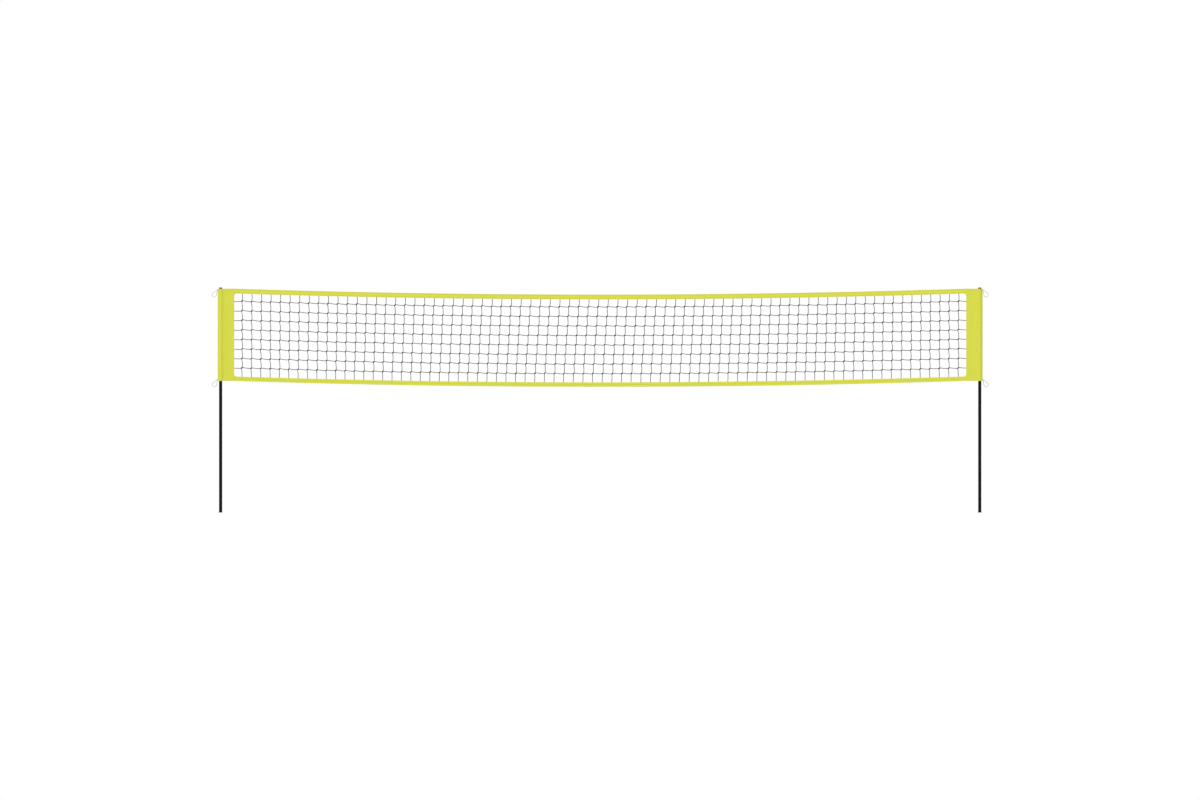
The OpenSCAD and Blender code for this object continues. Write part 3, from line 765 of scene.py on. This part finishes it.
def sleeve_point(side, outer, along, face, z):
    """A point of a sleeve's cloth: along its outline, on its front (-1) or back (1), at height z."""
    t = min(max(along, 0.0), travel[-1])
    k = min(max(sum(1 for x in travel if x <= t) - 1, 0), len(outline) - 2)
    share = (t - travel[k]) / (travel[k + 1] - travel[k])
    x = outline[k][0] + (outline[k + 1][0] - outline[k][0]) * share
    half = outline[k][1] + (outline[k + 1][1] - outline[k][1]) * share
    edge = min(z - net_bottom, net_top - z)
    if edge < corner_r and x < -pocket_r:
        cut = corner_r - math.sqrt(max(0.0, corner_r**2 - (corner_r - edge) ** 2))
        x = -pocket_r + (x + pocket_r) * (seam_w - cut) / seam_w
    # Loose cloth beyond the pocket lies closer together, but not on the rope or the border cord.
    loose = eased(x, (40 * mm, 0), (60 * mm, 1), (112 * mm, 1), (124 * mm, 0))
    loose *= eased(edge, (12 * mm, 0), (40 * mm, 1))
    half -= drawn_in * loose
    # Upright folds, and creases that run from where the loops pull on the seam.
    pull = math.exp(-math.hypot(x + pocket_r + 6 * mm, edge - 13 * mm) / (45 * mm))
    bearing = math.atan2(edge - 13 * mm, x + pocket_r + 8 * mm)
    upright = 0.5 + 0.5 * noise.noise((x * 38 + side * 9, z * 3.5, face * 3.1))
    crease = 0.5 + 0.5 * math.sin(11 * bearing + face)
    gather = 0.5 + 0.5 * math.sin(2 * math.pi * edge / (13 * mm))
    gather *= math.exp(-((edge - 62 * mm) / (26 * mm)) ** 2)
    gather *= eased(x, (20 * mm, 1), (34 * mm, 0))
    clear = eased(x, (-pocket_r - 10 * mm, 0.0), (-pocket_r + 4 * mm, 1.0))
    # Cloth lies flat where the tape laps it and under the binding, which also covers its edge.
    lapped = eased(x, (flat_reach - 24 * mm, 0.0), (flat_reach - 15 * mm, 1.0))
    clear *= 1 - lapped * eased(edge, (80 * mm, 1.0), (95 * mm, 0.0))
    bound = eased(x, (43 * mm, 0.0), (48 * mm, 1.0))
    clear *= 1 - bound * eased(edge, (17 * mm, 1.0), (24 * mm, 0.0))
    inwards = 1 if z < (net_top + net_bottom) / 2 else -1
    z += inwards * drawn_in * bound * eased(edge, (0, 1.0), (6 * mm, 0.0))
    swell = clear * (0.9 * mm * upright + 1.0 * mm * pull * crease + 0.5 * mm * gather)
    hem = 0.4 * mm * eased(edge, (15 * mm, 1), (17 * mm, 0)) * clear
    n = min(max(k, 1), len(outline) - 2)
    run = (outline[n + 1][0] - outline[n - 1][0], outline[n + 1][1] - outline[n - 1][1])
    size = math.hypot(*run)
    x += -run[1] / size * (swell + hem + outer)
    half += run[0] / size * (swell + hem + outer)
    return Vector((side * (post_x - pocket_shift - x), face * half, z))


edge_steps = [0.0, 0.6, 1.4, 2.6, 4.4, 6.6, 9, 12, 15, 17]
heights = [net_bottom + k * mm for k in edge_steps]
heights += [net_bottom + (24 + 952 * k / 136) * mm for k in range(137)]
heights += [net_top - k * mm for k in edge_steps[::-1]]
for side, name in ((-1, "left"), (1, "right")):
    rows, flat_rows = [], []
    for z in heights:
        front = [sleeve_point(side, 0.0, t, -1, z) for t in travel[::-1]]
        back = [sleeve_point(side, 0.0, t, 1, z) for t in travel]
        rows.append(front + back)
        flat_rows.append([(z, -t) for t in travel[::-1]] + [(z, t + 1 * mm) for t in travel])
    if side < 0:
        rows, flat_rows = rows[::-1], flat_rows[::-1]
    piece = cloth_sheet(f"{name}_sleeve_cloth", rows, flat_rows, woven_polyester)
    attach(piece, "net")
    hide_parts(f"{name}_sleeve")


# ---------------------------------------------------------------- stitching
# Bonded polyester thread a shade paler than the cloth: two rows through each
# tape, a double row beside the pocket, one at the net's edge and one in each hem.
stitch_inputs = [(label, "NodeSocketFloat") for label in (
    "Pitch", "Stitch Length", "Thread Radius", "Unevenness")]
stitch_inputs += [("Seed", "NodeSocketInt"), ("Material", "NodeSocketMaterial")]
stitch_tree, given, result = new_group("stitch_rows", stitch_inputs)
rows_in, given = given.outputs["Geometry"], given.outputs
line = add_node(stitch_tree, "GeometryNodeMeshToCurve", {"Mesh": rows_in})
line = add_node(stitch_tree, "GeometryNodeResampleCurve", {"Curve": line, "Length": given["Pitch"]},
                mode="LENGTH")
tangent = add_node(stitch_tree, "GeometryNodeInputTangent")
askew = add_node(stitch_tree, "FunctionNodeRandomValue",
                 {0: (-1, -1, -1), 1: (1, 1, 1), "Seed": given["Seed"]}, data_type="FLOAT_VECTOR")
askew = add_node(stitch_tree, "ShaderNodeVectorMath", {0: askew, "Scale": given["Unevenness"]},
                 operation="SCALE")
heading = add_node(stitch_tree, "ShaderNodeVectorMath", {0: tangent, 1: askew}, operation="ADD")
aim = add_node(stitch_tree, "FunctionNodeAlignRotationToVector", {"Vector": heading}, axis="X")
ends = []
for place in (-0.5, 0.5):
    end = add_node(stitch_tree, "ShaderNodeMath", {0: given["Stitch Length"], 1: place},
                   operation="MULTIPLY")
    ends.append(add_node(stitch_tree, "ShaderNodeCombineXYZ", {0: end}))
thread_line = add_node(stitch_tree, "GeometryNodeCurvePrimitiveLine", {"Start": ends[0], "End": ends[1]})
thread_line = add_node(stitch_tree, "GeometryNodeResampleCurve", {"Curve": thread_line, "Count": 4})
part = add_node(stitch_tree, "GeometryNodeSplineParameter")
plump = add_node(stitch_tree, "ShaderNodeMath", {0: part, 1: math.pi}, operation="MULTIPLY")
plump = add_node(stitch_tree, "ShaderNodeMath", {0: plump}, operation="SINE")
plump = add_node(stitch_tree, "ShaderNodeMath", {0: plump, 1: 0.5, 2: 0.5}, operation="MULTIPLY_ADD")
plump = add_node(stitch_tree, "ShaderNodeMath", {0: plump, 1: given["Thread Radius"]}, operation="MULTIPLY")
thread_ring = add_node(stitch_tree, "GeometryNodeCurvePrimitiveCircle", {"Resolution": 4, "Radius": 1.0})
stitch = add_node(stitch_tree, "GeometryNodeCurveToMesh",
                  {"Curve": thread_line, "Profile Curve": thread_ring, "Scale": plump, "Fill Caps": True})
sewn = add_node(stitch_tree, "GeometryNodeInstanceOnPoints",
                {"Points": line, "Instance": stitch, "Rotation": aim})
sewn = add_node(stitch_tree, "GeometryNodeRealizeInstances", {"Geometry": sewn})
sewn = add_node(stitch_tree, "GeometryNodeSetShadeSmooth", {"Geometry": sewn})
sewn = add_node(stitch_tree, "GeometryNodeSetMaterial", {"Geometry": sewn, "Material": given["Material"]})
stitch_tree.links.new(sewn.outputs[0], result.inputs[0])

sewing_thread, tree = new_material("bonded_polyester_thread")
where = add_node(tree, "ShaderNodeTexCoord")
ply = add_node(tree, "ShaderNodeTexNoise",
               {"Vector": where.outputs["Object"], "Scale": 1 / (0.8 * mm), "Detail": 1.0})
relief = add_node(tree, "ShaderNodeBump", {"Height": ply, "Strength": 0.5, "Distance": 0.1 * mm})
tone = add_node(tree, "ShaderNodeMix", {0: ply, 6: hex_colour("dfe25c"), 7: hex_colour("eceea0")},
                data_type="RGBA")
thread_skin = add_node(tree, "ShaderNodeBsdfPrincipled",
                       {"Base Color": tone.outputs[2], "Roughness": 0.5, "Normal": relief})
add_node(tree, "ShaderNodeOutputMaterial", {"Surface": thread_skin})


def sew(name, routes, pitch=8 * mm, length=5.5 * mm):
    """Rows of stitches along these routes, as one piece that rides with the net."""
    points, edges = [], []
    for route in routes:
        edges += [(len(points) + k, len(points) + k + 1) for k in range(len(route) - 1)]
        points += route
    mesh = bpy.data.meshes.new(name)
    mesh.from_pydata(points, edges, [])
    sizes = {"Pitch": pitch, "Stitch Length": length, "Thread Radius": 0.45 * mm,
             "Unevenness": 0.06, "Seed": 3, "Material": sewing_thread}
    piece = grown(name, stitch_tree, sizes, mesh)
    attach(piece, "net")


thread_lift = 0.5 * mm
for name, (stations, tape) in tape_rows.items():
    full = tape[0]
    tie_x = inner_half + 0.8 * lap
    tie_rows = range(14, round((full + corner_fillet) / mm) - 2, 3)
    routes = []
    for face_side in (-1, 1):
        routes.append([tape_point(tape, x, rope_row, face_side, thread_lift) for x in stations])
        between = [x for x in stations if abs(x) < tie_x]
        routes.append([tape_point(tape, x, full - edge_row, face_side, thread_lift) for x in between])
        # A short row ties each end of the tape to the sleeve that it laps.
        for end in (-tie_x, tie_x):
            routes.append([tape_point(tape, end, s * mm, face_side, thread_lift) for s in tie_rows])
    sew(f"{name}_stitches", routes)

fold_row, pocket_row, hem_row = 5 * mm, seam_w + 62 * mm, 12 * mm
for side, name in ((-1, "left"), (1, "right")):
    routes = []
    tall = [net_bottom + (6 + 988 * k / 200) * mm for k in range(201)]
    wide = [seam_w + 3 * mm + (travel[-1] - seam_w - 6 * mm) * k / 80 for k in range(81)]
    for face in (-1, 1):
        for t in (fold_row, fold_row + 5 * mm, pocket_row, pocket_row + 5 * mm, travel[-1] - 8 * mm):
            routes.append([sleeve_point(side, thread_lift, t, face, z) for z in tall])
        for z in (net_bottom + hem_row, net_top - hem_row):
            routes.append([sleeve_point(side, thread_lift, t, face, z) for t in wide])
        # The loop is tied in by a box with a cross inside it.
        for low in (net_bottom + 6 * mm, net_top - 20 * mm):
            box = [(2, 0), (11, 0), (11, 14), (2, 14)]
            for a, b in ((0, 1), (1, 2), (3, 2), (0, 3), (0, 2), (1, 3)):
                start, last = Vector(box[a]), Vector(box[b])
                trim = (last - start).normalized() * 1.9
                ends = [(start + trim).lerp(last - trim, k / 4) * mm for k in range(5)]
                routes.append([sleeve_point(side, thread_lift, spot.x, face, low + spot.y)
                               for spot in ends])
    sew(f"{name}_sleeve_stitches", routes, pitch=5 * mm, length=3.8 * mm)


# ---------------------------------------------------------------- corner loops
# White braided cord, 6 mm thick, bent into an eye and sewn into the seam at each
# corner of the net. Its ends are pressed flat at the seam and whipped with thread.
cord_r = corner_of("right_upper_loop", 1)[1]
eye_r = 24 * mm
loop_len = 63 * mm
loop_angle = math.radians(32)
loop_end = 3.3 * mm
seam_depth = 3.1 * mm
hinge_x = 4.150
hinge_inset = 13 * mm
whipping_start = 4.5 * mm
whipping_len = 4.2 * mm
whipping_turns = 6
touch = math.acos(eye_r / loop_len)

braided_cord, tree = new_material("braided_white_cord")
# A diamond braid: two sets of strands that cross every 5 mm along the cord.
flat = add_node(tree, "ShaderNodeUVMap", uv_map="cloth")
strand_sets = []
for hand in (1, -1):
    strand = add_node(tree, "ShaderNodeVectorMath", {0: flat, 1: (1, 0.8 * hand, 0)},
                      operation="DOT_PRODUCT")
    strand = add_node(tree, "ShaderNodeMath", {0: strand.outputs["Value"], 1: math.pi / (2.5 * mm)},
                      operation="MULTIPLY")
    strand_sets.append(add_node(tree, "ShaderNodeMath", {0: strand}, operation="SINE"))
braid = add_node(tree, "ShaderNodeMath", {0: strand_sets[0], 1: strand_sets[1]}, operation="MULTIPLY")
relief = add_node(tree, "ShaderNodeBump", {"Height": braid, "Strength": 0.7, "Distance": 0.5 * mm})
# Painted shade: the hollows of the braid are drawn darker than the strands that cross over them.
deep = add_node(tree, "ShaderNodeMapRange", {"Value": braid, "From Min": -1.0, "From Max": 0.4})
tone = add_node(tree, "ShaderNodeMix", {0: deep, 6: hex_colour("b4b4b1"), 7: hex_colour("d2d2cf")},
                data_type="RGBA")
cotton = add_node(tree, "ShaderNodeBsdfPrincipled",
                  {"Base Color": tone.outputs[2], "Roughness": 0.85, "Specular IOR Level": 0.2,
                   "Normal": relief})
add_node(tree, "ShaderNodeOutputMaterial", {"Surface": cotton})

waxed_thread, tree = new_material("waxed_whipping_thread")
where = add_node(tree, "ShaderNodeTexCoord")
wax = add_node(tree, "ShaderNodeTexNoise", {"Vector": where.outputs["Object"], "Scale": 1 / (1.5 * mm)})
tone = add_node(tree, "ShaderNodeMix", {0: wax, 6: hex_colour("b9b9b4"), 7: hex_colour("d6d6d0")},
                data_type="RGBA")
relief = add_node(tree, "ShaderNodeBump", {"Height": wax, "Strength": 0.4, "Distance": 0.1 * mm})
waxed = add_node(tree, "ShaderNodeBsdfPrincipled",
                 {"Base Color": tone.outputs[2], "Roughness": 0.4, "Normal": relief})
add_node(tree, "ShaderNodeOutputMaterial", {"Surface": waxed})

for side, name in ((-1, "left"), (1, "right")):
    for level, height in (("upper", net_top - hinge_inset), ("lower", net_bottom + hinge_inset)):
        eye = (loop_len * math.sin(loop_angle), -loop_len * math.cos(loop_angle))
        first = math.pi / 2 + loop_angle - touch
        bends = [first - k * (2 * math.pi - 2 * touch) / 40 for k in range(41)]
        ring = [Vector((eye[0] + eye_r * math.cos(a), eye[1] + eye_r * math.sin(a))) for a in bends]
        start, last = Vector((0, loop_end)), Vector((0, -loop_end))
        seam = Vector((-seam_depth, 0))
        flat_path = [start + seam, start + seam / 2] + [start.lerp(ring[0], k / 8) for k in range(8)]
        flat_path += ring + [ring[-1].lerp(last, k / 8) for k in range(1, 9)]
        flat_path += [last + seam / 2, last + seam]
        route = [Vector((side * (hinge_x + p.x), 0, height + p.y)) for p in flat_path]
        pressed = [1.5 * mm, 2.4 * mm]
        radii = pressed + [cord_r] * (len(route) - 4) + pressed[::-1]
        loop = tube(f"{name}_{level}_loop_cord", route, radii, 10, braided_cord)
        whippings = []
        for number, (foot, leg) in enumerate(((start, ring[0] - start), (last, ring[-1] - last)), 1):
            leg = leg.normalized()
            wide = Vector((-leg.y, leg.x))
            turns = []
            for k in range(12 * whipping_turns + 1):
                turn = 2 * math.pi * k / 12
                climb = whipping_start + whipping_len * turn / (2 * math.pi * whipping_turns)
                spot = foot + leg * climb + wide * cord_r * math.cos(turn)
                turns.append(Vector((side * (hinge_x + spot.x), cord_r * math.sin(turn), height + spot.y)))
            thread = f"{name}_{level}_loop_whipping_{number}"
            whippings.append(tube(thread, turns, [0.3 * mm] * len(turns), 4, waxed_thread))
        for piece in (loop, *whippings):
            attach(piece, f"{name}_{level}_loop_swing")
        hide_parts(f"{name}_{level}_loop")
